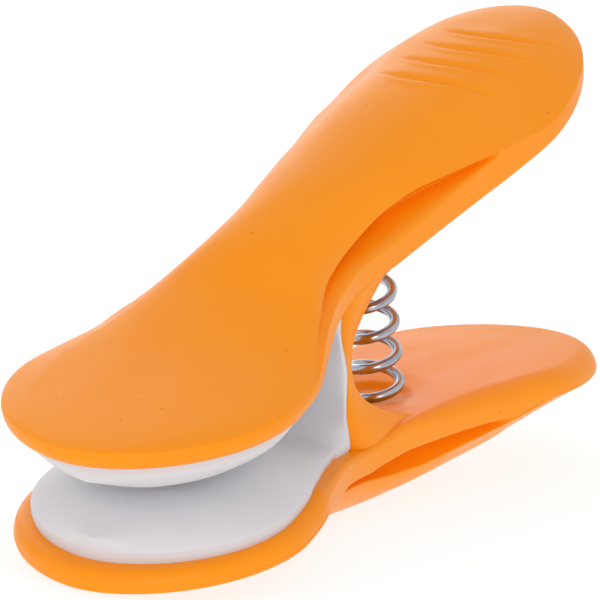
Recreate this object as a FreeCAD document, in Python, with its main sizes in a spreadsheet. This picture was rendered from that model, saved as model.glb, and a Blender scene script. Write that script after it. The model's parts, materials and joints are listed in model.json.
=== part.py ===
"""Spring clamp: two mirror-image arms moulded in one with a living hinge, soft jaw linings, one coil spring.

Every body is drawn in the clamp's own frame: the hinge line is Y through the origin, the jaws reach towards
-X, the handles towards +X, and the plane where the jaws meet is Z = 0. The finished bodies are then laid on
the table: pitched until the tip of the lower jaw and the back under the hinge both touch it, and centred.
"""

import FreeCAD, Part
import math
import os

from FreeCAD import Placement, Rotation, Vector

os.makedirs("parts", exist_ok=True)
doc = FreeCAD.newDocument("spring_clamp")

# ---------------------------------------------------------------- driving dimensions, in millimetres
sheet = doc.addObject("Spreadsheet::Sheet", "sizes")
DIMENSIONS = [
    ("jaw_reach", 38.5, "hinge line to jaw tip"),
    ("handle_reach", 51.5, "hinge line to handle tip"),
    ("jaw_half_width", 14.6, "widest half width of the jaw"),
    ("jaw_wide_at", 23.8, "distance of that width in front of the hinge line"),
    ("tip_round_jaw", 14.7, "length over which the skin rounds down to the jaw's tip"),
    ("tip_round_handle", 9.4, "the same at the handle's tip"),
    ("handle_half_width", 12.3, "widest half width of the handle"),
    ("handle_wide_at", 33.5, "distance of that width behind the hinge line"),
    ("jaw_floor", 5.04, "height of the orange face that carries the lining"),
    ("throat_front", 15.3, "where the floor starts to rise towards the hinge"),
    ("throat_floor", 8.2, "height of the floor above the hinge line"),
    ("handle_floor_root", 8.35, "height of the handle's inner face where the web ends"),
    ("handle_floor_mid", 12.1, "the same at mid handle"),
    ("handle_floor_tip", 17.45, "the same at the handle's tip"),
    ("web_root", 7.0, "where the web's sweep meets the handle"),
    ("handle_mid", 30.0, "station of the mid handle height"),
    ("rim_round", 1.5, "rounding between the inner face and the side"),
    ("groove_depth", 3.2, "deepest point of the side groove"),
    ("groove_front", 5.0, "groove's front end, ahead of the hinge line"),
    ("groove_rear", 32.0, "groove's rear end, behind the hinge line"),
    ("web_thickness", 0.5, "orange web at its thinnest"),
    ("web_half_width", 6.5, "half width of the web"),
    ("flex_half_height", 1.5, "half height of the part that bends"),
    ("lining_wall", 1.7, "thickness of the lining in front of the web"),
    ("lining_inset", 1.6, "orange rim left round the lining on the jaw"),
    ("pad_gap", 0.15, "half the clearance between the closed pads"),
    ("spring_wire", 1.05, "wire diameter"),
    ("spring_radius", 2.4, "mean radius of the coil"),
    ("spring_pitch", 3.35, "rise of one turn"),
    ("spring_at", 15.0, "distance of the coil axis behind the hinge line"),
    ("spring_half_length", 9.9, "half the distance between the end turns"),
    ("seat_radius", 3.3, "radius of the recess that holds an end of the coil"),
    ("seat_depth", 1.1, "least depth of that recess"),
    ("grip_cut", 0.5, "radius of the cutter of a grip groove"),
    ("grip_sweep", 26.0, "radius of a grip groove's arc"),
    ("grip_first", 25.7, "station of the first grip groove"),
    ("grip_pitch", 4.25, "spacing of the grip grooves"),
    ("grip_lean", 24.0, "lean of the grip grooves' plane, in degrees"),
    ("rest_pitch", 13.6, "pitch at which the clamp lies on the table, in degrees"),
]
for row, (name, value, note) in enumerate(DIMENSIONS, start=1):
    sheet.set(f"A{row}", name)
    sheet.set(f"B{row}", str(value))
    sheet.set(f"C{row}", note)
    sheet.setAlias(f"B{row}", name)
doc.recompute()
size = {name: float(sheet.get(name)) for name, _, _ in DIMENSIONS}

JAW_TIP = -size["jaw_reach"]
HANDLE_TIP = size["handle_reach"]
JAW_WIDE = -size["jaw_wide_at"]
HANDLE_WIDE = size["handle_wide_at"]
THROAT = -size["throat_front"]
SPRING_X = size["spring_at"]

# half widths between the widest points of jaw and handle: (station, half width)
SKIN_WAIST = [(-28.85, 13.7), (JAW_WIDE, 14.6), (-18.75, 13.7), (-13.75, 11.5), (-8.75, 9.05), (-3.75, 7.25),
              (1.25, 6.75), (6.25, 7.05), (11.25, 7.85), (16.25, 9.05), (21.25, 10.35), (26.25, 11.45),
              (HANDLE_WIDE, 12.3), (40.75, 11.45)]
PLATE_WAIST = [(-28.85, 13.87), (JAW_WIDE, 14.6), (-18.75, 13.87), (-13.75, 12.1), (-8.75, 10.05),
               (-3.75, 8.55), (1.25, 8.15), (6.25, 8.4), (11.25, 8.95), (16.25, 9.75), (21.25, 10.75),
               (26.25, 11.6), (HANDLE_WIDE, 12.3), (40.75, 11.6)]
# heights above the jaw plane along the arm: (station, height)
CROWN = [(JAW_TIP, 7.76), (-29, 8.2), (-21.4, 9.0), (-12, 11.45), (-4.4, 15.1), (3.1, 17.2), (10.7, 18.35),
         (18.2, 19.5), (27.7, 20.45), (36.2, 20.6), (42.8, 20.4), (HANDLE_TIP, 20.5)]
LIP = [(JAW_TIP, 7.0), (-17.6, 7.05), (-11, 8.75), (-4.4, 11.05), (1.25, 12.4), (6.9, 13.85), (12.6, 14.55),
       (20.1, 14.6), (29.6, 14.65), (39, 16.3), (HANDLE_TIP, 18.7)]
# steepness of the skin where it leaves the lip, in degrees from flat
LIP_ANGLE = [(JAW_TIP, 84), (JAW_WIDE, 79), (-6.3, 84), (6.9, 71), (20.1, 38), (35.2, 32), (HANDLE_TIP, 61)]
# the lining's face along its middle: lead-in at the tip, the crown that the other pad flattens, the throat
PAD_FACE = [(JAW_TIP, 4.2), (-35.6, 2.4), (-31.8, 0.6), (-28, -0.4), (-20, -0.4), (-16, 0.8), (-11.5, 3.2),
            (-7, 5.2), (-4, 5.8), (0, 6.0)]
ROUND = 0.55  # handle length of a Bezier quarter round, as a share of its radius


def smooth(points, x):
    """Height at x of a smooth curve through points: a cubic with the knots' averaged slopes."""
    x = min(max(x, points[0][0]), points[-1][0])
    last = len(points) - 1
    i = max(k for k in range(last) if points[k][0] <= x or k == 0)

    def slope(k):
        if k in (0, last):
            a, b = points[max(k - 1, 0)], points[min(k + 1, last)]
            return (b[1] - a[1]) / (b[0] - a[0])
        before = (points[k][1] - points[k - 1][1]) / (points[k][0] - points[k - 1][0])
        after = (points[k + 1][1] - points[k][1]) / (points[k + 1][0] - points[k][0])
        return 0.0 if before * after <= 0 else 2 * before * after / (before + after)

    (xa, za), (xb, zb) = points[i], points[i + 1]
    run = xb - xa
    s = (x - xa) / run
    return ((1 + 2 * s) * (1 - s) ** 2 * za + s * (1 - s) ** 2 * run * slope(i)
            + s * s * (3 - 2 * s) * zb + s * s * (s - 1) * run * slope(i + 1))


def oval(share, power):
    """Half width of an oval at a share of the way from its widest point to its tip."""
    return max(0.0, 1 - min(share, 1.0) ** power) ** (1 / power)


def half_width(x, waist):
    """Half width of the arm's outline at x: an oval jaw, a waist from the given list, an oval handle end."""
    if x <= JAW_WIDE:
        return size["jaw_half_width"] * oval((JAW_WIDE - x) / (JAW_WIDE - JAW_TIP), 1.89)
    if x <= HANDLE_WIDE:
        return smooth(waist, x)
    return size["handle_half_width"] * oval((x - HANDLE_WIDE) / (HANDLE_TIP - HANDLE_WIDE), 1.9)


def crown_height(x, lip):
    """Height of the skin along its middle, rounded down to the lip at both tips."""
    share = min((x - JAW_TIP) / size["tip_round_jaw"], (HANDLE_TIP - x) / size["tip_round_handle"], 1.0)
    return lip + (smooth(CROWN, x) - lip) * (1 - (1 - share) ** 2.2) ** (1 / 2.2)


def floor_arc():
    """The handle's inner face: an arc through its root, middle and tip heights."""
    tip = HANDLE_TIP + 1
    rise = (size["handle_floor_tip"] - size["handle_floor_mid"]) / (HANDLE_TIP - size["handle_mid"])
    return (Vector(size["web_root"], size["handle_floor_root"], 0),
            Vector(size["handle_mid"], size["handle_floor_mid"], 0),
            Vector(tip, size["handle_floor_tip"] + rise, 0))


def floor_height(x):
    """Height of the arm's inner face at x, before the web is added."""
    if x <= THROAT:
        return size["jaw_floor"]
    if x <= 0:
        return size["jaw_floor"] + (size["throat_floor"] - size["jaw_floor"]) * (1 - x / THROAT)
    root, middle, tip = floor_arc()
    if x <= root.x:
        return size["throat_floor"] + (root.y - size["throat_floor"]) * x / root.x
    parabola = ((x - middle.x) * (x - tip.x) / ((root.x - middle.x) * (root.x - tip.x)) * root.y
                + (x - root.x) * (x - tip.x) / ((middle.x - root.x) * (middle.x - tip.x)) * middle.y
                + (x - root.x) * (x - middle.x) / ((tip.x - root.x) * (tip.x - middle.x)) * tip.y)
    return parabola


# ---------------------------------------------------------------- sketch and body helpers
def plane(body, role):
    return next(f for f in body.Origin.OriginFeatures if f.Role == role)


def new_body(name):
    body = doc.addObject("PartDesign::Body", name)
    body.Label = name
    return body


def sketch_on(body, name, role, edges, offset=0.0, offset_rule=None):
    """A sketch on one of the body's origin planes, offset along the plane's normal."""
    sketch = body.newObject("Sketcher::SketchObject", name)
    sketch.AttachmentSupport = [(plane(body, role), "")]
    sketch.MapMode = "FlatFace"
    sketch.AttachmentOffset = Placement(Vector(0, 0, offset), Rotation())
    if offset_rule:
        sketch.setExpression(".AttachmentOffset.Base.z", offset_rule)
    for edge in edges:
        sketch.addGeometry(edge, False)
    return sketch


def line(a, b):
    return Part.LineSegment(Vector(a[0], a[1], 0), Vector(b[0], b[1], 0))


def chain(points):
    return [line(a, b) for a, b in zip(points, points[1:])]


def bezier(*poles):
    curve = Part.BSplineCurve()
    curve.buildFromPolesMultsKnots([Vector(y, z, 0) for y, z in poles], (4, 4), (0.0, 1.0), False, 3)
    return curve


def arc(a, b, c):
    return Part.Arc(Vector(a[0], a[1], 0), Vector(b[0], b[1], 0), Vector(c[0], c[1], 0))


def station_rule(x):
    """The station as a share of the jaw's or the handle's reach, so that it follows the sheet."""
    if x <= 0:
        return f"<<sizes>>.jaw_reach * {x / size['jaw_reach']:.6f}"
    return f"<<sizes>>.handle_reach * {x / size['handle_reach']:.6f}"


def both_sides(body, name, kind, profile, length_rule):
    """A pad or pocket of the profile to both sides of the sketch's plane."""
    feature = body.newObject(kind, name)
    feature.Profile = profile
    feature.SideType = "Symmetric"
    feature.setExpression("Length", length_rule)
    return feature


# ---------------------------------------------------------------- the arms
def arm_section(x, side):
    """The arm's closed outline across the station: inner face, rounded rim, groove and domed skin."""
    skin, plate = half_width(x, SKIN_WAIST), half_width(x, PLATE_WAIST)
    lip = smooth(LIP, x)
    crown = max(crown_height(x, lip), lip + 0.2)
    floor = floor_height(x) - 0.15
    rim = min(size["rim_round"], 0.8 * plate, 0.6 * (lip - floor))
    front, rear = -size["groove_front"], size["groove_rear"]
    share = min(max((x - front) / (rear - front), 0.0), 1.0)
    depth = min(size["groove_depth"] * math.sin(math.pi * share ** 0.8) ** 2, 0.45 * skin)
    side_top = min(floor + rim + 0.3 + 2.2 * (depth > 0) * min(1.0, depth), lip - 0.3)
    rise = lip - side_top
    height = crown - lip
    lean = height * 0.56 / math.tan(math.radians(smooth(LIP_ANGLE, x)))
    half = [
        [(plate - rim, floor), (plate - rim + ROUND * rim, floor),
         (plate, floor + rim - ROUND * rim), (plate, floor + rim)],
        [(plate, floor + rim), (plate, side_top)],
        [(plate, side_top), (plate, side_top + 0.5 * rise),
         (skin - 1.5 * depth, lip - 0.05 * rise), (skin, lip)],
        [(skin, lip), (skin - lean, lip + 0.56 * height), (0.56 * skin, crown), (0, crown)],
    ]
    mirrored = [[(-y, z) for y, z in reversed(poles)] for poles in reversed(half)]
    rim_start, rim_end = half[0][0], mirrored[-1][-1]
    outline = half + mirrored + [[rim_end, rim_start]]
    placed = [[(y, side * z) for y, z in poles] for poles in outline]
    return [line(*poles) if len(poles) == 2 else bezier(*poles) for poles in placed]


ARM_STATIONS = [JAW_TIP + step for step in (0.05, 0.5, 1.6, 3.6, 6.5, 10.5)] + [
    JAW_WIDE, -18.5, -13.5, -9, -5, -1, 3, 7, 12, 18, 24, 29, HANDLE_WIDE, 38, 42, 45.5] + [
    HANDLE_TIP - step for step in (3.6, 1.7, 0.55, 0.05)]


def pocket_below_floor(body, side):
    """Cuts the arm back to its inner face, the same profile that the lining is cut to."""
    root, middle, tip = floor_arc()
    front, height = JAW_TIP - 2, size["jaw_floor"]
    points = [(tip.x, tip.y), (tip.x, 0), (front, 0), (front, height), (THROAT, height),
              (0, size["throat_floor"]), (root.x, root.y)]
    edges = chain([(x, side * z) for x, z in points])
    edges.append(arc((root.x, side * root.y), (middle.x, side * middle.y), (tip.x, side * tip.y)))
    profile = sketch_on(body, body.Name + "_floor", "XZ_Plane", edges)
    return both_sides(body, body.Name + "_floor_cut", "PartDesign::Pocket", profile,
                      "<<sizes>>.jaw_half_width * 3")


def web_flare(body, side):
    """The web's half of an hourglass, swept into the handle's inner face."""
    thin, low, root = size["web_thickness"], size["flex_half_height"], size["web_root"]
    height = size["handle_floor_root"]
    middle = (thin + (root - thin) * 0.22, low + (height - low) * 0.66)
    inside = height + 1.5
    points = [(root, height), (root, inside), (0, inside), (0, low), (thin, low)]
    edges = chain([(x, side * z) for x, z in points])
    edges.append(arc((thin, side * low), (middle[0], side * middle[1]), (root, side * height)))
    profile = sketch_on(body, body.Name + "_web", "XZ_Plane", edges)
    return both_sides(body, body.Name + "_web_flare", "PartDesign::Pad", profile,
                      "<<sizes>>.web_half_width * 2")


def spring_seat(body, side):
    """A round recess in the handle's inner face, square to the coil."""
    seat = body.newObject("PartDesign::SubtractiveCylinder", body.Name + "_spring_seat")
    seat.AttachmentSupport = [(plane(body, "XY_Plane"), "")]
    seat.MapMode = "FlatFace"
    turn = Rotation(Vector(1, 0, 0), 0 if side < 0 else 180)
    seat.AttachmentOffset = Placement(Vector(SPRING_X, 0, 0), turn)
    seat.setExpression("Radius", "<<sizes>>.seat_radius")
    seat.setExpression("Height", "<<sizes>>.seat_depth * 10")
    seat.setExpression(".AttachmentOffset.Base.x", "<<sizes>>.spring_at")
    sign = "" if side > 0 else "-"
    seat.setExpression(".AttachmentOffset.Base.z",
                       f"{sign}(<<sizes>>.spring_half_length + <<sizes>>.spring_wire / 2)")
    return seat


def grip_grooves(body, side, count=4):
    """Shallow arched grooves for the thumb, fading out where the skin curves away from the cutter."""
    last = None
    for index in range(count):
        x = size["grip_first"] + index * size["grip_pitch"]
        cutter = body.newObject("PartDesign::SubtractiveTorus", f"{body.Name}_grip_{index + 1}")
        cutter.AttachmentSupport = [(plane(body, "YZ_Plane"), "")]
        cutter.MapMode = "FlatFace"
        sweep, lean = size["grip_sweep"], math.radians(size["grip_lean"])
        drop = sweep * math.cos(lean) - 0.1
        back = sweep * math.sin(lean)
        height = side * (smooth(CROWN, x) - drop)
        cutter.AttachmentOffset = Placement(
            Vector(0, height, x - back), Rotation(Vector(1, 0, 0), side * size["grip_lean"]))
        cutter.setExpression("Radius1", "<<sizes>>.grip_sweep")
        cutter.setExpression("Radius2", "<<sizes>>.grip_cut")
        last = cutter
    return last


def make_arm(name, side):
    body = new_body(name)
    sketches = [
        sketch_on(body, f"{name}_station_{index + 1}", "YZ_Plane", arm_section(x, side), x, station_rule(x))
        for index, x in enumerate(ARM_STATIONS)
    ]
    loft = body.newObject("PartDesign::AdditiveLoft", name + "_loft")
    loft.Profile = sketches[0]
    loft.Sections = sketches[1:]
    pocket_below_floor(body, side)
    web_flare(body, side)
    spring_seat(body, side)
    body.Tip = grip_grooves(body, side)
    return body


# ---------------------------------------------------------------- the lining
PAD_TIP = JAW_TIP + 1.4 * size["lining_inset"]


def pad_section(x, side):
    """The lining's outline across the station: domed on the jaw, flat across the throat."""
    width = half_width(x, PLATE_WAIST) - size["lining_inset"]
    if x <= JAW_WIDE:
        share = (JAW_WIDE - x) / (JAW_WIDE - PAD_TIP)
        width = max((size["jaw_half_width"] - size["lining_inset"]) * oval(share, 1.89), 0.5)
    face = smooth(PAD_FACE, x) + size["pad_gap"]
    edge = size["jaw_floor"] - 0.45
    if x > THROAT:
        edge += (face - edge) * min((x - THROAT) / 9.0, 1.0)
    edge = max(edge, face)
    top = floor_height(x) + 1.0
    points = [(width, top), (width, edge)]
    dome = [(width, edge), (0.8 * width, edge + (face - edge) * 0.75), (0.5 * width, face), (0, face)]
    outline = [points, dome, [(-y, z) for y, z in reversed(dome)], [(-width, edge), (-width, top)],
               [(-width, top), (width, top)]]
    placed = [[(y, side * z) for y, z in poles] for poles in outline]
    return [line(*poles) if len(poles) == 2 else bezier(*poles) for poles in placed]


PAD_STATIONS = [PAD_TIP + step for step in (0.05, 0.5, 1.6, 3.6, 6.5, 9.5)] + [
    JAW_WIDE, -20, -16, -12, -8.5, -5, -size["lining_wall"]]


def make_pad(name, side):
    body = new_body(name)
    sketches = [
        sketch_on(body, f"{name}_station_{index + 1}", "YZ_Plane", pad_section(x, side), x, station_rule(x))
        for index, x in enumerate(PAD_STATIONS)
    ]
    loft = body.newObject("PartDesign::AdditiveLoft", name + "_loft")
    loft.Profile = sketches[0]
    loft.Sections = sketches[1:]
    # the wall in front of the web, with a fillet into the throat
    wall, low, high = -size["lining_wall"], size["flex_half_height"], size["throat_floor"]
    roof = smooth(PAD_FACE, wall) + size["pad_gap"]
    fillet = 2.6
    diagonal = fillet * (1 - math.sqrt(0.5))
    points = [(wall - fillet, roof), (wall - fillet, high), (0, high), (0, low), (wall, low),
              (wall, roof - fillet)]
    edges = chain([(x, side * z) for x, z in points])
    edges.append(arc((wall, side * (roof - fillet)), (wall - diagonal, side * (roof - diagonal)),
                     (wall - fillet, side * roof)))
    profile = sketch_on(body, name + "_wall", "XZ_Plane", edges)
    both_sides(body, name + "_wall_pad", "PartDesign::Pad", profile, "<<sizes>>.web_half_width * 2")
    # cut back to the arm's inner face
    front, height, far = JAW_TIP - 2, size["jaw_floor"], 20
    points = [(front, height), (THROAT, height), (0, high), (2, high), (2, far), (front, far), (front, height)]
    cut = sketch_on(body, name + "_seat", "XZ_Plane", chain([(x, side * z) for x, z in points]))
    both_sides(body, name + "_seat_cut", "PartDesign::Pocket", cut, "<<sizes>>.jaw_half_width * 3")
    # the flat where the closed pads press on each other
    near, gap, beyond = THROAT + 2, size["pad_gap"], -4
    points = [(front, beyond), (near, beyond), (near, gap), (front, gap), (front, beyond)]
    flat = sketch_on(body, name + "_contact", "XZ_Plane", chain([(x, side * z) for x, z in points]))
    body.Tip = both_sides(body, name + "_contact_cut", "PartDesign::Pocket", flat,
                          "<<sizes>>.jaw_half_width * 3")
    return body


# ---------------------------------------------------------------- the parts that bend
def make_strip(name, front, rear):
    """The stretch of the web, or of the lining in front of it, that flexes as the jaws open."""
    body = new_body(name)
    low = size["flex_half_height"]
    waist = 0.12 * (rear - front)
    edges = [line((front, -low), (rear, -low)), arc((rear, -low), (rear - waist, 0), (rear, low)),
             line((rear, low), (front, low)), line((front, low), (front, -low))]
    profile = sketch_on(body, name + "_profile", "XZ_Plane", edges)
    body.Tip = both_sides(body, name + "_pad", "PartDesign::Pad", profile, "<<sizes>>.web_half_width * 2")
    return body


def make_spring(name):
    """A right-handed compression coil, its ends in the seats of the two handles."""
    body = new_body(name)
    wire = body.newObject("Sketcher::SketchObject", name + "_wire")
    wire.AttachmentSupport = [(plane(body, "XZ_Plane"), "")]
    wire.MapMode = "FlatFace"
    wire.AttachmentOffset = Placement(Vector(SPRING_X, -size["spring_half_length"], 0), Rotation())
    wire.setExpression(".AttachmentOffset.Base.x", "<<sizes>>.spring_at")
    wire.setExpression(".AttachmentOffset.Base.y", "-<<sizes>>.spring_half_length")
    circle = Part.Circle(Vector(size["spring_radius"], 0, 0), Vector(0, 0, 1), size["spring_wire"] / 2)
    wire.addGeometry(circle, False)
    coil = body.newObject("PartDesign::AdditiveHelix", name + "_coil")
    coil.Profile = wire
    coil.ReferenceAxis = (wire, ["V_Axis"])
    coil.Mode = "pitch-height-angle"
    coil.setExpression("Pitch", "<<sizes>>.spring_pitch")
    coil.setExpression("Height", "<<sizes>>.spring_half_length * 2")
    coil.LeftHanded = False
    body.Tip = coil
    return body


lower_arm = make_arm("lower_arm", -1)
upper_arm = make_arm("upper_arm", 1)
lower_pad = make_pad("lower_jaw_lining", -1)
upper_pad = make_pad("upper_jaw_lining", 1)
living_hinge = make_strip("living_hinge", 0.0, size["web_thickness"])
hinge_lining = make_strip("hinge_lining", -size["lining_wall"], 0.0)
spring = make_spring("spring")
bodies = [lower_arm, upper_arm, lower_pad, upper_pad, living_hinge, hinge_lining, spring]
doc.recompute()


# ---------------------------------------------------------------- checks, resting pose, export
def check():
    for item in doc.Objects:
        if "Invalid" in item.State or "Error" in item.State:
            raise RuntimeError(f"{item.Name}: {item.State}")
    for body in bodies:
        shape = body.Shape
        if shape.isNull() or not shape.isValid() or len(shape.Solids) != 1:
            raise RuntimeError(f"{body.Name} is not one valid solid: {len(shape.Solids)} solids")


check()
pitch = Rotation(Vector(0, 1, 0), -size["rest_pitch"])
for body in bodies:
    body.Placement = Placement(Vector(0, 0, 0), pitch)
doc.recompute()
boxes = [body.Shape.optimalBoundingBox(True) for body in bodies]
shift = Vector(-(min(b.XMin for b in boxes) + max(b.XMax for b in boxes)) / 2, 0,
               -min(b.ZMin for b in boxes))
for body in bodies:
    body.Placement = Placement(shift, pitch)
doc.recompute()
check()

for body in bodies:
    body.Shape.exportStep(f"parts/{body.Label}.step")
    box = body.Shape.optimalBoundingBox(True)
    print(f"{body.Label}: {body.Shape.Volume:.1f} mm3, X {box.XMin:.2f}..{box.XMax:.2f}, "
          f"Y {box.YMin:.2f}..{box.YMax:.2f}, Z {box.ZMin:.2f}..{box.ZMax:.2f}")
print(f"hinge line at X {shift.x:.3f}, Z {shift.z:.3f}")
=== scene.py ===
"""Spring clamp: high-detail arms, soft lining, living hinge and coil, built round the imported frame."""

import json
import math

import bmesh
import bpy
import numpy as np
from mathutils import Matrix, Vector

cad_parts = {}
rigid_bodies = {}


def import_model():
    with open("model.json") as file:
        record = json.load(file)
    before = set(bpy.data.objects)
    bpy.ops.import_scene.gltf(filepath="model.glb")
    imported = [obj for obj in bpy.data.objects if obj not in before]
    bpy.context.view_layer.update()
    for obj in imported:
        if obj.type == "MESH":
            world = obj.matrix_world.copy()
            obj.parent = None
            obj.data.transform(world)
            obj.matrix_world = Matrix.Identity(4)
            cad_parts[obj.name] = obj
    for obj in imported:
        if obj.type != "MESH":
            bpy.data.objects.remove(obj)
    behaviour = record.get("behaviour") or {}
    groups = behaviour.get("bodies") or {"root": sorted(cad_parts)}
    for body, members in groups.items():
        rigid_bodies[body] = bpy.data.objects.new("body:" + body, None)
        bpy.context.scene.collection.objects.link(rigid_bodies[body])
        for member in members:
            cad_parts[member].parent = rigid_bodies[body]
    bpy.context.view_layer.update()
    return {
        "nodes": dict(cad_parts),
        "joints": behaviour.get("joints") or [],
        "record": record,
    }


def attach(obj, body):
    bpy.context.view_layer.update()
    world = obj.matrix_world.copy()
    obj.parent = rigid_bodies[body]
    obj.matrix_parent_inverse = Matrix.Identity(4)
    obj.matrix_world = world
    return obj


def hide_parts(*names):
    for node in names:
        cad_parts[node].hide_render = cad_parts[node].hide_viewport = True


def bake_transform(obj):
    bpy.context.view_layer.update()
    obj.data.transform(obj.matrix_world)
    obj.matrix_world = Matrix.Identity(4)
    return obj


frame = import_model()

# ---------------------------------------------------------------- the clamp's own frame
# Drawn in millimetres with the hinge line through the origin, the jaws towards -X, the handles towards +X
# and the plane where the jaws meet at Z = 0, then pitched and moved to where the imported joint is.
MM = 0.001
JOINT = frame["joints"][0]
HINGE = Vector(JOINT["pos_m"])
PAD_NORMAL = Vector(next(m["axis"] for m in frame["record"]["mounts"] if m["name"] == "lower_pad_contact"))
PITCH = math.atan2(-PAD_NORMAL.x, PAD_NORMAL.z)
TO_ROW = Matrix.Translation(HINGE) @ Matrix.Rotation(-PITCH, 4, "Y") @ Matrix.Scale(MM, 4)
LOWER, UPPER = JOINT["parent"], JOINT["child"]

JAW_TIP, HANDLE_TIP = -38.5, 51.5
JAW_WIDE, JAW_HALF, JAW_OVAL = -23.8, 14.6, 1.89
HANDLE_WIDE, HANDLE_HALF, HANDLE_OVAL = 33.5, 12.3, 1.9
TIP_ROUND_JAW, TIP_ROUND_HANDLE = 14.7, 9.4
JAW_FLOOR, THROAT, THROAT_FLOOR, WEB_ROOT = 5.04, -15.3, 8.2, 7.0
HANDLE_FLOOR = [(WEB_ROOT, 8.35), (30, 12.1), (52.5, 17.7)]

# Stations and heights are in millimetres. SKIN is the domed outer moulding and PLATE the thin inner edge
# below its side groove.
# half widths between the widest points of jaw and handle: (station, half width)
SKIN = [(-28.85, 13.7), (JAW_WIDE, 14.6), (-18.75, 13.7), (-13.75, 11.5), (-8.75, 9.05), (-3.75, 7.25),
        (1.25, 6.75), (6.25, 7.05), (11.25, 7.85), (16.25, 9.05), (21.25, 10.3), (26.25, 11.4),
        (HANDLE_WIDE, 12.3), (40.75, 11.45)]
PLATE = [(-28.85, 13.87), (JAW_WIDE, 14.6), (-18.75, 13.87), (-13.75, 12.1), (-8.75, 10.05),
         (-3.75, 8.55), (1.25, 8.15), (6.25, 8.4), (11.25, 8.95), (16.25, 9.6), (21.25, 10.4),
         (26.25, 11.3), (HANDLE_WIDE, 12.3), (40.75, 11.6)]
# heights above the jaw plane along the arm: (station, height)
CROWN = [(JAW_TIP, 7.76), (-29, 8.2), (-21.4, 9.0), (-12, 11.45), (-4.4, 15.1), (3.1, 17.2), (10.7, 18.35),
         (18.2, 19.5), (27.7, 20.45), (36.2, 20.6), (42.8, 20.4), (HANDLE_TIP, 20.5)]
LIP = [(JAW_TIP, 7.0), (-17.6, 7.05), (-11, 8.75), (-4.4, 11.05), (1.25, 12.4), (6.9, 13.85), (12.6, 14.55),
       (20.1, 14.6), (29.6, 14.65), (39, 16.3), (HANDLE_TIP, 18.7)]
LIP_ANGLE = [(JAW_TIP, 84), (JAW_WIDE, 79), (-6.3, 84), (6.9, 71), (20.1, 38), (35.2, 32), (HANDLE_TIP, 61)]
# height of the plate's side above the inner face, then the rounding between the two, which is larger on the
# lower handle
SIDE = [(JAW_TIP, 1.9), (-13.8, 2.8), (-4.4, 2.3), (5, 2.5), (20.1, 3.1), (33.3, 4.0), (42.8, 2.1),
        (HANDLE_TIP, 1.1)]
RIM_UPPER = [(JAW_TIP, 1.3), (-20, 1.4), (-10, 0.6), (4, 0.6), (12, 0.7), (30, 0.5), (HANDLE_TIP, 0.5)]
RIM_LOWER = [(JAW_TIP, 1.3), (-20, 1.4), (-10, 0.6), (4, 0.6), (14, 1.6), (30, 2.4), (44, 2.0),
             (HANDLE_TIP, 1.0)]
# the lining's face along its middle
PAD_FACE = [(JAW_TIP, 3.9), (-35.6, 2.5), (-31.8, 0.8), (-28, 0.1), (-20, 0.08), (-16, 1.0), (-11.5, 3.4),
            (-7, 5.3), (-4, 5.9), (0, 6.0)]


def smooth(points, x):
    """Heights at x, an array, of a smooth curve through points that never overshoots them."""
    px, pz = (np.array(v, float) for v in zip(*points))
    step, rise = np.diff(px), np.diff(pz)
    slope = rise / step
    product = slope[:-1] * slope[1:]
    total = np.where(product > 0, slope[:-1] + slope[1:], 1.0)
    inner = np.where(product > 0, 2 * product / total, 0.0)
    tangent = np.concatenate([slope[:1], inner, slope[-1:]])
    x = np.clip(np.asarray(x, float), px[0], px[-1])
    i = np.clip(np.searchsorted(px, x, side="right") - 1, 0, len(step) - 1)
    s = (x - px[i]) / step[i]
    return ((1 + 2 * s) * (1 - s) ** 2 * pz[i] + s * (1 - s) ** 2 * step[i] * tangent[i]
            + s * s * (3 - 2 * s) * pz[i + 1] + s * s * (s - 1) * step[i] * tangent[i + 1])


def quarter(count):
    """Angles of a quarter turn, from 0."""
    return np.linspace(0, np.pi / 2, count)


def mirrored(across, height):
    """Closed loops from half loops that run from the middle of one face to the middle of the other."""
    return (np.concatenate([across, -across[:, -2:0:-1]], 1),
            np.concatenate([height, height[:, -2:0:-1]], 1))


def ease(start, end, x):
    """0 at start, 1 at end, level at both."""
    s = np.clip((np.asarray(x, float) - start) / (end - start), 0, 1)
    return s * s * (3 - 2 * s)


def oval(share, power):
    """Half width of an oval, as a share, part of the way from its widest point to its tip."""
    return np.clip(1 - np.clip(share, 0, 1) ** power, 0, 1) ** (1 / power)


def half_width(x, waist):
    """Half width of the outline: an oval jaw, a waist from the given list, an oval handle end."""
    x = np.asarray(x, float)
    return np.select([x <= JAW_WIDE, x <= HANDLE_WIDE],
                     [JAW_HALF * oval((JAW_WIDE - x) / (JAW_WIDE - JAW_TIP), JAW_OVAL), smooth(waist, x)],
                     HANDLE_HALF * oval((x - HANDLE_WIDE) / (HANDLE_TIP - HANDLE_WIDE), HANDLE_OVAL))


def floor_height(x):
    """Height of the arm's inner face: flat jaw, ramp to the hinge, bowed handle."""
    x = np.asarray(x, float)
    ramp = JAW_FLOOR + (THROAT_FLOOR - JAW_FLOOR) * (1 - x / THROAT)
    (xa, za), (xb, zb), (xc, zc) = HANDLE_FLOOR
    web = THROAT_FLOOR + (za - THROAT_FLOOR) * x / xa
    bowed = (za * (x - xb) * (x - xc) / ((xa - xb) * (xa - xc)) + zb * (x - xa) * (x - xc)
             / ((xb - xa) * (xb - xc)) + zc * (x - xa) * (x - xb) / ((xc - xa) * (xc - xb)))
    return np.select([x <= THROAT, x <= 0, x <= xa], [np.full_like(x, JAW_FLOOR), ramp, web], bowed)


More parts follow.
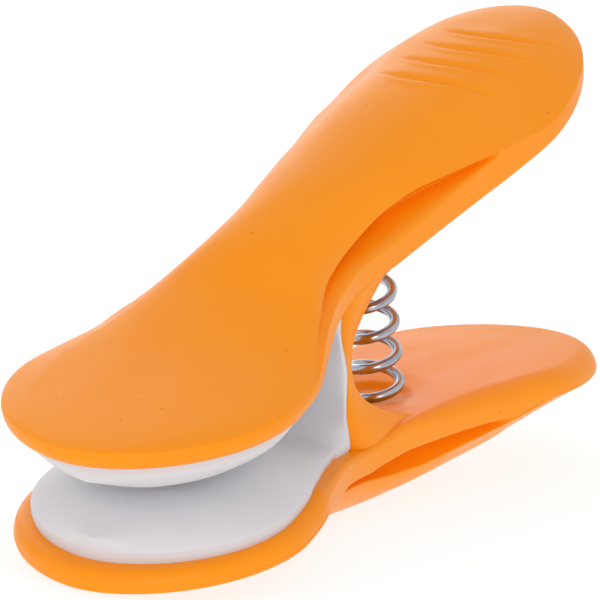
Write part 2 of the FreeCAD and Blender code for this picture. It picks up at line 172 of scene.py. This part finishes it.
def plan_distance(x, y, waist):
    """Distance in plan from (x, y) to the outline, for the rounding that runs right round the tips."""
    turn = quarter(160)
    line_x = np.concatenate([JAW_TIP + (JAW_WIDE - JAW_TIP) * (1 - np.cos(turn)),
                             np.linspace(JAW_WIDE, HANDLE_WIDE, 120),
                             HANDLE_WIDE + (HANDLE_TIP - HANDLE_WIDE) * np.sin(turn)])
    line_y = half_width(line_x, waist)
    flat = np.stack([x.ravel(), np.abs(y).ravel()], 1)
    best = np.full(len(flat), 1e9)
    for a, b in zip(np.stack([line_x, line_y], 1)[:-1], np.stack([line_x, line_y], 1)[1:]):
        d = b - a
        t = np.clip(((flat - a) @ d) / max(d @ d, 1e-12), 0, 1)
        best = np.minimum(best, np.hypot(*(flat - a - t[:, None] * d).T))
    return best.reshape(x.shape)


def bezier(poles, count):
    """Points of one cubic for every station, without its first: poles is four (y, z) pairs of arrays."""
    t = np.linspace(0, 1, count + 1)[1:]
    basis = [(1 - t) ** 3, 3 * (1 - t) ** 2 * t, 3 * (1 - t) * t * t, t ** 3]
    y = sum(np.outer(p[0], b) for p, b in zip(poles, basis))
    z = sum(np.outer(p[1], b) for p, b in zip(poles, basis))
    return y, z


def build_mesh(name, vertices, faces, sharp_degrees=50):
    """A mesh object from points in the clamp's frame, welded, outward-facing and smooth-shaded."""
    mesh = bpy.data.meshes.new(name)
    mesh.from_pydata([tuple(v) for v in vertices], [], faces)
    bm = bmesh.new()
    bm.from_mesh(mesh)
    bmesh.ops.remove_doubles(bm, verts=bm.verts, dist=1e-4)
    bmesh.ops.dissolve_degenerate(bm, edges=bm.edges, dist=1e-5)
    bmesh.ops.recalc_face_normals(bm, faces=bm.faces)
    bm.to_mesh(mesh)
    bm.free()
    mesh.transform(TO_ROW)
    for polygon in mesh.polygons:
        polygon.use_smooth = True
    mesh.set_sharp_from_angle(angle=math.radians(sharp_degrees))
    piece = bpy.data.objects.new(name, mesh)
    bpy.context.scene.collection.objects.link(piece)
    return piece


def loop_faces(rows, columns, closed=True):
    """Quads between rows of columns points each."""
    wrap = columns if closed else columns - 1
    return [(i * columns + j, i * columns + (j + 1) % columns,
             (i + 1) * columns + (j + 1) % columns, (i + 1) * columns + j)
            for i in range(rows - 1) for j in range(wrap)]


# ---------------------------------------------------------------- the arms
GRIP_FIRST, GRIP_PITCH, GRIP_COUNT = 25.7, 4.25, 4
GRIP_HALF_LENGTH, GRIP_HALF_WIDTH, GRIP_DEPTH, GRIP_BOW = 6.4, 0.6, 0.42, 0.056
GRIP_CENTRE = -1.9    # the grooves lie off the middle, towards -Y
GRIP_SWELL = 0.35     # height of the swell in front of each groove, as a share of its depth
GROOVE_FRONT, GROOVE_REAR, GROOVE_DEPTH = -9.0, 31.0, 2.1
SOFT_ROUNDS, SOFT_REACH = 300, 26    # smoothing of the skin's edge where it is not a sharp lip
GROOVE_POINTS, DOME_POINTS = 14, 60  # points on each side of the groove, and over half the dome
GROOVE_BOTTOM = 0.42                 # height of the groove's deepest line, as a share of its opening
DOME_FULLNESS = 0.56                 # how far the dome's curve handles reach; more is squarer
RIDGE_HEIGHT, RIDGE_PLACE, RIDGE_WIDTH = 0.08, 0.45, 0.12
LIP_CLEARANCE, TIP_POWER = 0.12, 2.2
GRIPS_FROM, GRIPS_TO = 22.0, 46.0    # stations are closer together between these
SEAT_X, SEAT_RADIUS, SEAT_DEPTH, DISH_RADIUS, DISH_DEPTH = 15.2, 3.3, 0.55, 7.0, 0.4


def grip_depth(x, y):
    """Depth of the four arched thumb grooves, each fading out at its ends."""
    total = np.zeros_like(x)
    for index in range(GRIP_COUNT):
        centre = GRIP_FIRST + index * GRIP_PITCH + GRIP_BOW * y * y
        fade = np.clip(1 - ((y - GRIP_CENTRE) / GRIP_HALF_LENGTH) ** 2, 0, 1)
        across = (x - centre) / (GRIP_HALF_WIDTH * (0.3 + 0.7 * fade))
        total += GRIP_DEPTH * fade * (np.exp(-across ** 2) - GRIP_SWELL * np.exp(-(across + 2.0) ** 2))
    return total


def seat_dip(x, y):
    """Depth of the broad dish in the inner face and of the coil's round seat in its middle."""
    radius = np.hypot(x - SEAT_X, y)
    return (DISH_DEPTH * (1 - ease(0.4 * DISH_RADIUS, DISH_RADIUS, radius))
            + SEAT_DEPTH * (1 - ease(SEAT_RADIUS - 0.3, SEAT_RADIUS + 0.5, radius)))


def arm_stations():
    """Stations along an arm, closest together at the two tips and over the thumb grooves."""
    turn = quarter(34)
    front = JAW_TIP + (JAW_WIDE - JAW_TIP) * (1 - np.cos(turn))
    middle = np.arange(JAW_WIDE + 0.4, GRIPS_FROM, 0.4)
    grips = np.arange(GRIPS_FROM, GRIPS_TO, 0.25)
    end = GRIPS_TO + (HANDLE_TIP - GRIPS_TO) * np.sin(quarter(34))
    return np.unique(np.concatenate([front, middle, grips, end]))


def ease_tip(distance, reach):
    """0 at the tip, 1 from reach on, rising steeply as an oval does."""
    s = np.clip(distance / reach, 0, 1)
    return (1 - (1 - s) ** TIP_POWER) ** (1 / TIP_POWER)


def arm_points(x, rim_heights):
    """Closed section loops of an arm, drawn as the upper one, one row for each station."""
    skin, plate = half_width(x, SKIN), half_width(x, PLATE)
    tip_fade = np.minimum(ease_tip(x - JAW_TIP, TIP_ROUND_JAW), ease_tip(HANDLE_TIP - x, TIP_ROUND_HANDLE))
    lip = smooth(LIP, x)
    crown = lip + (smooth(CROWN, x) - lip) * tip_fade
    floor, rim = floor_height(x), smooth(rim_heights, x)
    side_top = np.minimum(floor + smooth(SIDE, x), lip - LIP_CLEARANCE)
    rise = lip - side_top
    share = np.clip((x - GROOVE_FRONT) / (GROOVE_REAR - GROOVE_FRONT), 0, 1)
    depth = GROOVE_DEPTH * np.sin(np.pi * share ** 0.85) ** 1.5 * ease(0.1, 1.2, rise)
    # inner face, rounded where it nears the outline
    v = np.sin(quarter(36))
    y_floor = np.outer(plate, v)
    x_floor = np.repeat(x[:, None], len(v), 1)
    near = np.clip(rim[:, None] - plan_distance(x_floor, y_floor, PLATE), 0, None)
    near = np.minimum(near, rim[:, None])
    near[:, -1] = rim
    z_floor = floor[:, None] + rim[:, None] - np.sqrt(np.clip(rim[:, None] ** 2 - near ** 2, 0, None))
    z_floor += seat_dip(x_floor, y_floor)
    # side of the plate, with the faint ridge of the mould's parting line
    s = np.linspace(0, 1, 12)[1:]
    z_side = (floor + rim)[:, None] + np.outer(side_top - floor - rim, s)
    ridge = RIDGE_HEIGHT * np.exp(-((s - RIDGE_PLACE) / RIDGE_WIDTH) ** 2) * ease(-8, -13, x)[:, None]
    y_side = plate[:, None] + ridge * np.clip(plate, 0, 1)[:, None]
    # groove: rounded plate edge, deep point behind it, then out to the lip
    deep = skin - depth
    z_deep = side_top + GROOVE_BOTTOM * rise
    groove_in = bezier([(plate, side_top), (plate, side_top + 0.22 * rise),
                        (deep + 0.45 * (plate - deep), side_top + 0.26 * rise), (deep, z_deep)],
                       GROOVE_POINTS)
    groove_out = bezier([(deep, z_deep), (deep - 0.12 * depth, z_deep + 0.18 * rise),
                         (skin - 0.30 * depth, lip - 0.10 * rise), (skin, lip)],
                        GROOVE_POINTS)
    # domed skin
    height = crown - lip
    lean = height * DOME_FULLNESS / np.tan(np.radians(smooth(LIP_ANGLE, x)))
    y_dome, z_dome = bezier([(skin, lip), (skin - lean, lip + DOME_FULLNESS * height),
                             (DOME_FULLNESS * skin, crown), (0 * skin, crown)], DOME_POINTS)
    y_half = np.concatenate([y_floor, y_side, groove_in[0], groove_out[0], y_dome], 1)
    z_half = np.concatenate([z_floor, z_side, groove_in[1], groove_out[1], z_dome], 1)
    lip_column = y_floor.shape[1] + y_side.shape[1] + 2 * GROOVE_POINTS - 1
    soft = 1 + np.round(SOFT_ROUNDS * np.maximum(ease(24, 40, x), ease(-9, -18, x))).astype(int)
    y_half, z_half = soften(y_half, z_half, lip_column, soft)
    y_loop, z_loop = mirrored(y_half, z_half)
    x_loop = np.repeat(x[:, None], y_loop.shape[1], 1)
    dome = slice(lip_column + 1, lip_column + 2 * y_dome.shape[1])
    z_loop[:, dome] -= grip_depth(x_loop[:, dome], y_loop[:, dome])
    return np.stack([x_loop, y_loop, z_loop], 2)


def soften(y, z, column, rounds):
    """Rounds the corner at a column, more strongly on the rows that ask for more rounds."""
    cols = np.arange(column - SOFT_REACH, column + SOFT_REACH + 1)
    for turn in range(int(rounds.max())):
        rows = (rounds > turn)[:, None]
        for grid in (y, z):
            mean = 0.5 * grid[:, cols] + 0.25 * (grid[:, cols - 1] + grid[:, cols + 1])
            grid[:, cols] = np.where(rows, mean, grid[:, cols])
    return y, z


def make_arm(name, side, body, node, rim_heights):
    """One arm: side is 1 for the upper arm and -1 for its mirror image below."""
    points = arm_points(arm_stations(), rim_heights)
    points[..., 2] *= side
    rows, columns = points.shape[:2]
    piece = build_mesh(name, points.reshape(-1, 3), loop_faces(rows, columns))
    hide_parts(node)
    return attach(piece, body)


# ---------------------------------------------------------------- the soft lining
LINING_INSET, LINING_SUNK, WEB_HALF, EDGE_STEP = 1.6, 0.18, 6.5, 0.62
LINING_TAPER = 0.12    # the lining's sides draw in by this towards the arm
WEB_FRONT, WEB_FORWARD, WEB_FORWARD_HEIGHT = 0.45, 1.05, 4.6
WEB_REAR, WEB_SWEEP, WEB_POWER, WEB_TOP = 0.45, 0.09, 2.15, 9.3
CORNER_POWER = 20      # squareness of the throat wall's outer corners
PAD_TIP, FILLET_START, FILLET = JAW_TIP + 2.24, -4.9, 3.2


def lining_width(x):
    """Half width of the lining: the orange rim stays all round it."""
    jaw = (JAW_HALF - LINING_INSET) * oval((JAW_WIDE - x) / (JAW_WIDE - PAD_TIP), JAW_OVAL)
    return np.where(x <= JAW_WIDE, jaw, half_width(x, PLATE) - LINING_INSET)


def web_front(z):
    """Where the orange web's front face stands: it sweeps forward a little at both ends."""
    return -WEB_FRONT - WEB_FORWARD * np.minimum(np.abs(z) / WEB_FORWARD_HEIGHT, 1) ** 1.5


def lining_path():
    """Upper half, tip to hinge line: face, back, half width and squareness, and the number of pad rows."""
    turn = quarter(40)
    x_pad = np.concatenate([PAD_TIP + (JAW_WIDE - PAD_TIP) * (1 - np.cos(turn)),
                            np.arange(JAW_WIDE + 0.5, FILLET_START, 0.5), [FILLET_START]])
    face = np.stack([x_pad, smooth(PAD_FACE, x_pad)], 1)
    back = np.stack([x_pad, floor_height(x_pad)], 1)
    width = lining_width(x_pad)
    roof = float(smooth(PAD_FACE, FILLET_START))
    centre = np.array([FILLET_START, roof - FILLET])
    a = quarter(30)[1:]
    ray = np.stack([np.sin(a), np.cos(a)], 1)
    arc = centre + FILLET * ray
    up = (float(floor_height(FILLET_START + 2)) - centre[1]) / np.maximum(ray[:, 1], 1e-6)
    stop = web_front(WEB_ROOT)    # a first guess, improved below: the web's front depends on the height met
    for _ in range(4):
        across = (stop - centre[0]) / np.maximum(ray[:, 0], 1e-6)
        reach = (up ** -CORNER_POWER + across ** -CORNER_POWER) ** (-1 / CORNER_POWER)
        corner = centre + reach[:, None] * ray
        stop = web_front(corner[:, 1])
    z_wall = np.linspace(centre[1], 0, 20)[1:]
    wall = np.stack([np.full(len(z_wall), FILLET_START + FILLET), z_wall], 1)
    wall_back = np.stack([web_front(z_wall), z_wall], 1)
    face = np.concatenate([face, arc, wall])
    back = np.concatenate([back, corner, wall_back])
    start = width[-1]
    width = np.concatenate([width, start + (WEB_HALF - start) * ease(0, 1, a / (np.pi / 2)),
                            np.full(len(z_wall), WEB_HALF)])
    square = ease(-15, -6, face[:, 0])
    return face, back, width, square, len(x_pad)


def lining_rows(face, back, width, square):
    """Section loops of the lining: domed face, rounded edge, side, and a back sunk in the arm."""
    away = face - back
    thickness = np.linalg.norm(away, axis=1)[:, None]
    away = away / thickness
    # the edge is thicker towards the jaw's tip, and the face squarer towards the throat
    step = EDGE_STEP + 0.5 * ease(-16, -26, face[:, :1])
    step = np.minimum(step, 0.85 * thickness)
    v = np.sin(quarter(44))
    drop = (1 - v[None] ** (2.4 + 3.2 * square[:, None])) ** (0.8 - 0.28 * square[:, None])
    height = step + (thickness - step) * drop
    y_face = np.outer(width, v)
    corner = quarter(6)[1:]
    radius = 0.6 * step
    y_corner = width[:, None] + 0 * corner[None]
    h_corner = step - radius * (1 - np.cos(corner))[None]
    side = np.linspace(0, 1, 6)[1:]
    low = step - radius
    h_side = low + (-LINING_SUNK - low) * side[None]
    y_side = width[:, None] - LINING_TAPER * side[None]
    inner = np.linspace(1, 0, 8)[1:]
    y_back = np.outer(width - LINING_TAPER, inner)
    h_back = np.full_like(y_back, -LINING_SUNK)
    y_half = np.concatenate([y_face, y_corner, y_side, y_back], 1)
    h_half = np.concatenate([height, h_corner, h_side, h_back], 1)
    y_loop, h_loop = mirrored(y_half, h_half)
    x_loop = back[:, :1] + away[:, :1] * h_loop
    z_loop = back[:, 1:] + away[:, 1:] * h_loop
    return np.stack([x_loop, y_loop, z_loop], 2)


def closed_strip(name, points, sharp_degrees=40):
    """A mesh from section loops with both ends capped."""
    rows, columns = points.shape[:2]
    faces = loop_faces(rows, columns)
    faces.append(tuple(range(columns)))
    faces.append(tuple(range((rows - 1) * columns, rows * columns)))
    return build_mesh(name, points.reshape(-1, 3), faces, sharp_degrees)


def make_pad(name, side, body, node):
    """The lining of one jaw: side is 1 for the upper jaw and -1 for the lower."""
    face, back, width, square, split = lining_path()
    points = lining_rows(face[:split], back[:split], width[:split], square[:split])
    points[..., 2] *= side
    piece = closed_strip(name, points)
    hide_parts(node)
    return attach(piece, body)


def bend(piece):
    """Bakes the piece's placement into its mesh."""
    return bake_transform(piece)


def make_throat_wall():
    """The lining's wall in front of the web, with its fillets into both halves of the throat."""
    face, back, width, square, split = lining_path()
    upper = lining_rows(face[split - 1:], back[split - 1:], width[split - 1:], square[split - 1:])
    lower = upper[-2::-1] * np.array([1, 1, -1])
    piece = closed_strip("throat_wall", np.concatenate([upper, lower]))
    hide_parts("hinge_lining")
    return bend(piece)


def make_hinge_web():
    """The orange web: an hourglass swept into both handles, thinnest where it bends."""
    z = np.concatenate([-WEB_TOP * np.sin(np.linspace(np.pi / 2, 0, 50)),
                        (WEB_TOP * np.sin(quarter(50)))[1:]])
    height = np.abs(z)
    rear, front = WEB_REAR + WEB_SWEEP * height ** WEB_POWER, web_front(z)
    # half widths at the rear face, at the widest place behind the front face, and at the front face
    side_rear = WEB_HALF - 0.1 + 0.5 * ease(2.0, 8.2, height) + 1.0 * ease(8.2, 9.4, height)
    side_wide = WEB_HALF + 2.6 * ease(0.5, 9.6, height)
    side_front = np.full_like(height, WEB_HALF)
    v = np.sin(quarter(24))
    t = np.linspace(0, 1, 22)[1:-1]
    y_rear, y_front = np.outer(side_rear, v), np.outer(side_front, v[::-1])
    turn = [(1 - t) ** 2, 2 * t * (1 - t), t * t]
    y_side = sum(np.outer(pole, b) for pole, b in zip((side_rear, side_wide, side_front), turn))
    x_rear = np.repeat(rear[:, None], len(v), 1)
    x_front = np.repeat(front[:, None], len(v), 1)
    x_side = sum(np.outer(pole, b) for pole, b in zip((rear, front + 0.12 * (rear - front), front), turn))
    y_half = np.concatenate([y_rear, y_side, y_front], 1)
    x_half = np.concatenate([x_rear, x_side, x_front], 1)
    y_loop, x_loop = mirrored(y_half, x_half)
    loop = np.stack([x_loop, y_loop, np.repeat(z[:, None], x_loop.shape[1], 1)], 2)
    piece = closed_strip("hinge_web", loop, 35)
    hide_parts("living_hinge")
    return bend(piece)


# ---------------------------------------------------------------- the coil
WIRE, COIL_RADIUS, COIL_PITCH, COIL_HALF = 1.05, 2.4, 3.35, 10.1
COIL_FOOT, COIL_HEAD = 15.35, 14.55
COIL_CROSSING, COIL_CROSSING_HEIGHT = -57.7, -8.66    # a turn passes this bearing at this height

COIL_LEAN = 0.08                  # the end turns lean towards the slope of the handles' inner faces
COIL_STEPS, WIRE_SIDES = 48, 20   # points on each turn of the coil, and round its wire


def make_coil():
    """The compression spring: a helix swept along a line between its two seats."""
    turns = 2 * COIL_HALF / COIL_PITCH
    count = int(turns * COIL_STEPS) + 1
    share = np.linspace(0, 1, count)
    start = COIL_CROSSING - 360 * (COIL_CROSSING_HEIGHT + COIL_HALF) / COIL_PITCH
    angle = math.radians(start) + 2 * np.pi * turns * share
    centre_x = COIL_FOOT + (COIL_HEAD - COIL_FOOT) * share
    centre_z = -COIL_HALF + 2 * COIL_HALF * share
    lean = COIL_LEAN * (1 - 2 * share)
    path = np.stack([centre_x + COIL_RADIUS * np.cos(angle), COIL_RADIUS * np.sin(angle),
                     centre_z - lean * COIL_RADIUS * np.cos(angle)], 1)
    tangent = np.gradient(path, axis=0)
    tangent /= np.linalg.norm(tangent, axis=1)[:, None]
    outward = np.stack([np.cos(angle), np.sin(angle), 0 * angle], 1)
    outward -= tangent * (outward * tangent).sum(1)[:, None]
    outward /= np.linalg.norm(outward, axis=1)[:, None]
    binormal = np.cross(tangent, outward)
    round_ = np.linspace(0, 2 * np.pi, WIRE_SIDES, endpoint=False)
    ring = (path[:, None] + WIRE / 2 * (np.cos(round_)[None, :, None] * outward[:, None]
                                        + np.sin(round_)[None, :, None] * binormal[:, None]))
    faces = loop_faces(count, len(round_))
    faces.append(tuple(range(len(round_))))
    faces.append(tuple(range((count - 1) * len(round_), count * len(round_))))
    piece = build_mesh("coil_spring", ring.reshape(-1, 3), faces, 60)
    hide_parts("spring")
    start = TO_ROW @ Vector((COIL_FOOT, 0, -COIL_HALF))
    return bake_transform(piece)


# ---------------------------------------------------------------- materials
# Colours are linear RGB, and bump distances are metres.
ORANGES, ORANGE_SPECK = ((0.95, 0.285, 0.001), (0.98, 0.305, 0.002)), (0.70, 0.19, 0.005)
WHITES, WHITE_SPECK = ((0.66, 0.655, 0.68), (0.70, 0.695, 0.72)), (0.30, 0.27, 0.27)
STEELS = (0.36, 0.39, 0.46), (0.56, 0.60, 0.68)
SPECK_FROM, SPECK_FULL = 0.775, 0.80    # only the peaks of the noise become specks


def grey(value):
    return value, value, value


def new_material(name):
    material = bpy.data.materials.new(name)
    material.use_nodes = True
    nodes, links = material.node_tree.nodes, material.node_tree.links
    shader = next(n for n in nodes if n.type == "BSDF_PRINCIPLED")
    place = nodes.new("ShaderNodeTexCoord")
    return material, nodes, links, shader, place


def noise(nodes, links, place, scale, detail=3.0, stretch=(1, 1, 1)):
    mapping = nodes.new("ShaderNodeMapping")
    mapping.inputs["Scale"].default_value = stretch
    links.new(place.outputs["Object"], mapping.inputs["Vector"])
    texture = nodes.new("ShaderNodeTexNoise")
    texture.inputs["Scale"].default_value = scale
    texture.inputs["Detail"].default_value = detail
    links.new(mapping.outputs["Vector"], texture.inputs["Vector"])
    return texture.outputs["Fac"]


def ramp(nodes, links, value, low, high, colour_low, colour_high):
    node = nodes.new("ShaderNodeValToRGB")
    node.color_ramp.elements[0].position = low
    node.color_ramp.elements[1].position = high
    node.color_ramp.elements[0].color = (*colour_low, 1)
    node.color_ramp.elements[1].color = (*colour_high, 1)
    links.new(value, node.inputs["Fac"])
    return node.outputs["Color"]


def specks(nodes, links, place, colour, scale, dark):
    """Sparse small dirt specks over a colour."""
    spots = ramp(nodes, links, noise(nodes, links, place, scale, 1), SPECK_FROM, SPECK_FULL,
                 grey(0), grey(1))
    mix = nodes.new("ShaderNodeMix")
    mix.data_type = "RGBA"
    links.new(spots, mix.inputs["Factor"])
    # a colour mix takes its two colours on sockets 6 and 7 and gives the result on output 2
    links.new(colour, mix.inputs[6])
    mix.inputs[7].default_value = (*dark, 1)
    return mix.outputs[2]


def bump(nodes, links, shader, height, distance, strength=1.0, below=None):
    node = nodes.new("ShaderNodeBump")
    node.inputs["Strength"].default_value = strength
    node.inputs["Distance"].default_value = distance
    links.new(height, node.inputs["Height"])
    if below is not None:
        links.new(below.outputs["Normal"], node.inputs["Normal"])
    links.new(node.outputs["Normal"], shader.inputs["Normal"])
    return node


def orange_plastic():
    material, nodes, links, shader, place = new_material("orange_plastic")
    mottle = noise(nodes, links, place, 60, 4)
    tint = ramp(nodes, links, mottle, 0.3, 0.7, *ORANGES)
    links.new(specks(nodes, links, place, tint, 1300, ORANGE_SPECK), shader.inputs["Base Color"])
    streak = noise(nodes, links, place, 240, 3, (0.35, 1, 1))
    links.new(ramp(nodes, links, streak, 0.3, 0.7, grey(0.36), grey(0.46)),
              shader.inputs["Roughness"])
    shader.inputs["Specular IOR Level"].default_value = 0.22
    shader.inputs["Subsurface Weight"].default_value = 0.06
    shader.inputs["Subsurface Radius"].default_value = (1.0, 0.45, 0.1)
    shader.inputs["Subsurface Scale"].default_value = 0.0015
    grain = noise(nodes, links, place, 3200, 2)
    first = bump(nodes, links, shader, grain, 0.00002, 0.35)
    wave = noise(nodes, links, place, 140, 2)
    bump(nodes, links, shader, wave, 0.00012, 0.25, first)
    return material


def soft_lining():
    material, nodes, links, shader, place = new_material("soft_lining")
    mottle = noise(nodes, links, place, 90, 5)
    tint = ramp(nodes, links, mottle, 0.3, 0.7, *WHITES)
    links.new(specks(nodes, links, place, tint, 700, WHITE_SPECK), shader.inputs["Base Color"])
    links.new(ramp(nodes, links, mottle, 0.3, 0.7, grey(0.50), grey(0.60)),
              shader.inputs["Roughness"])
    shader.inputs["Subsurface Weight"].default_value = 0.15
    shader.inputs["Subsurface Radius"].default_value = (1.0, 0.8, 0.8)
    shader.inputs["Subsurface Scale"].default_value = 0.001
    grain = noise(nodes, links, place, 2600, 2)
    first = bump(nodes, links, shader, grain, 0.00002, 0.4)
    wave = noise(nodes, links, place, 200, 2)
    bump(nodes, links, shader, wave, 0.0001, 0.25, first)
    return material


def spring_wire():
    material, nodes, links, shader, place = new_material("spring_wire")
    shader.inputs["Metallic"].default_value = 1.0
    mottle = noise(nodes, links, place, 500, 3)
    links.new(ramp(nodes, links, mottle, 0.35, 0.7, *STEELS),
              shader.inputs["Base Color"])
    links.new(ramp(nodes, links, mottle, 0.3, 0.7, grey(0.14), grey(0.26)),
              shader.inputs["Roughness"])
    drawn = noise(nodes, links, place, 1800, 2)
    bump(nodes, links, shader, drawn, 0.00001, 0.3)
    return material


def pale_floor():
    material, nodes, links, shader, place = new_material("pale_floor")
    mottle = noise(nodes, links, place, 3, 2)
    links.new(ramp(nodes, links, mottle, 0.3, 0.7, grey(0.27), grey(0.29)),
              shader.inputs["Base Color"])
    shader.inputs["Roughness"].default_value = 0.8
    shader.inputs["Specular IOR Level"].default_value = 0.0
    shader.inputs["Emission Color"].default_value = (1, 1, 1, 1)
    shader.inputs["Emission Strength"].default_value = FLOOR_GLOW
    return material


# ---------------------------------------------------------------- stage, light and camera
FLOOR_SIZE, FLOOR_DROP = 6, 0.0002    # metres; the floor lies just below the clamp
FLOOR_GLOW, WORLD_STRENGTH = 0.8, 0.82
LAMP_TARGET, LAMP_SIZE = (0, 0, 0.02), 0.5
LAMPS = [("back", (0.45, 0.45, 0.25), 0.6), ("fill", (-0.7, -0.35, 0.12), 1.3)]    # name, place, watts
# the viewing angle in degrees and the distance and aim in millimetres, all in the clamp's own frame
VIEW_AZIMUTH, VIEW_ELEVATION, VIEW_ROLL = 57.725, 22.983, 4.044
VIEW_DISTANCE, VIEW_TARGET = 447.03, (7.433, 3.694, 2.191)
SENSOR, LENS, LENS_SHIFT = 36, 272.12, (0.00415, 0.0090)


def make_stage():
    bpy.ops.mesh.primitive_plane_add(size=FLOOR_SIZE, location=(0, 0, -FLOOR_DROP))
    floor = bpy.context.object
    floor.name = "studio_floor"
    floor.data.materials.append(pale_floor())


def area_light(name, place, target, size, power):
    data = bpy.data.lights.new(name, "AREA")
    data.shape, data.size, data.energy = "DISK", size, power
    lamp = bpy.data.objects.new(name, data)
    lamp.location = place
    lamp.rotation_euler = (Vector(target) - Vector(place)).to_track_quat("-Z", "Y").to_euler()
    bpy.context.scene.collection.objects.link(lamp)


def make_light():
    world = bpy.data.worlds.new("studio")
    world.use_nodes = True
    world.node_tree.nodes["Background"].inputs["Color"].default_value = (1, 1, 1, 1)
    world.node_tree.nodes["Background"].inputs["Strength"].default_value = WORLD_STRENGTH
    bpy.context.scene.world = world
    for name, place, power in LAMPS:
        area_light(name, place, LAMP_TARGET, LAMP_SIZE, power)
    bpy.context.scene.view_settings.view_transform = "Standard"


def make_camera():
    """The viewing angle, in the clamp's own frame: it leans with the clamp."""
    azimuth, elevation, roll = (math.radians(v) for v in (VIEW_AZIMUTH, VIEW_ELEVATION, VIEW_ROLL))
    back = Vector((-math.sin(azimuth) * math.cos(elevation), -math.cos(azimuth) * math.cos(elevation),
                   math.sin(elevation)))
    right = Vector((math.cos(azimuth), -math.sin(azimuth), 0))
    up = back.cross(right)
    level_right = right * math.cos(roll) - up * math.sin(roll)
    level_up = right * math.sin(roll) + up * math.cos(roll)
    turn = Matrix((level_right, level_up, back)).transposed().to_4x4()
    pose = Matrix.Translation(HINGE) @ Matrix.Rotation(-PITCH, 4, "Y")
    where = Matrix.Translation((Vector(VIEW_TARGET) + back * VIEW_DISTANCE) * MM)
    data = bpy.data.cameras.new("camera")
    data.sensor_width, data.lens = SENSOR, LENS
    data.shift_x, data.shift_y = LENS_SHIFT
    data.clip_start, data.clip_end = 0.01, 20
    camera = bpy.data.objects.new("camera", data)
    camera.matrix_world = pose @ where @ turn
    bpy.context.scene.collection.objects.link(camera)
    bpy.context.scene.camera = camera


# ---------------------------------------------------------------- assembly
orange, white, steel = orange_plastic(), soft_lining(), spring_wire()
pieces = [
    (make_arm("upper_arm_shell", 1, UPPER, "upper_arm", RIM_UPPER), orange),
    (make_arm("lower_arm_shell", -1, LOWER, "lower_arm", RIM_LOWER), orange),
    (make_hinge_web(), orange),
    (make_pad("upper_pad", 1, UPPER, "upper_jaw_lining"), white),
    (make_pad("lower_pad", -1, LOWER, "lower_jaw_lining"), white),
    (make_throat_wall(), white),
    (make_coil(), steel),
]
for piece, material in pieces:
    piece.data.materials.append(material)
node_material = {"orange_plastic": orange, "soft_lining": white, "spring_wire": steel}
for part in frame["record"]["subparts"]:
    cad = frame["nodes"][part["node"]]
    cad.data.materials.clear()
    cad.data.materials.append(node_material[part["material_slot"]])
make_stage()
make_light()
make_camera()
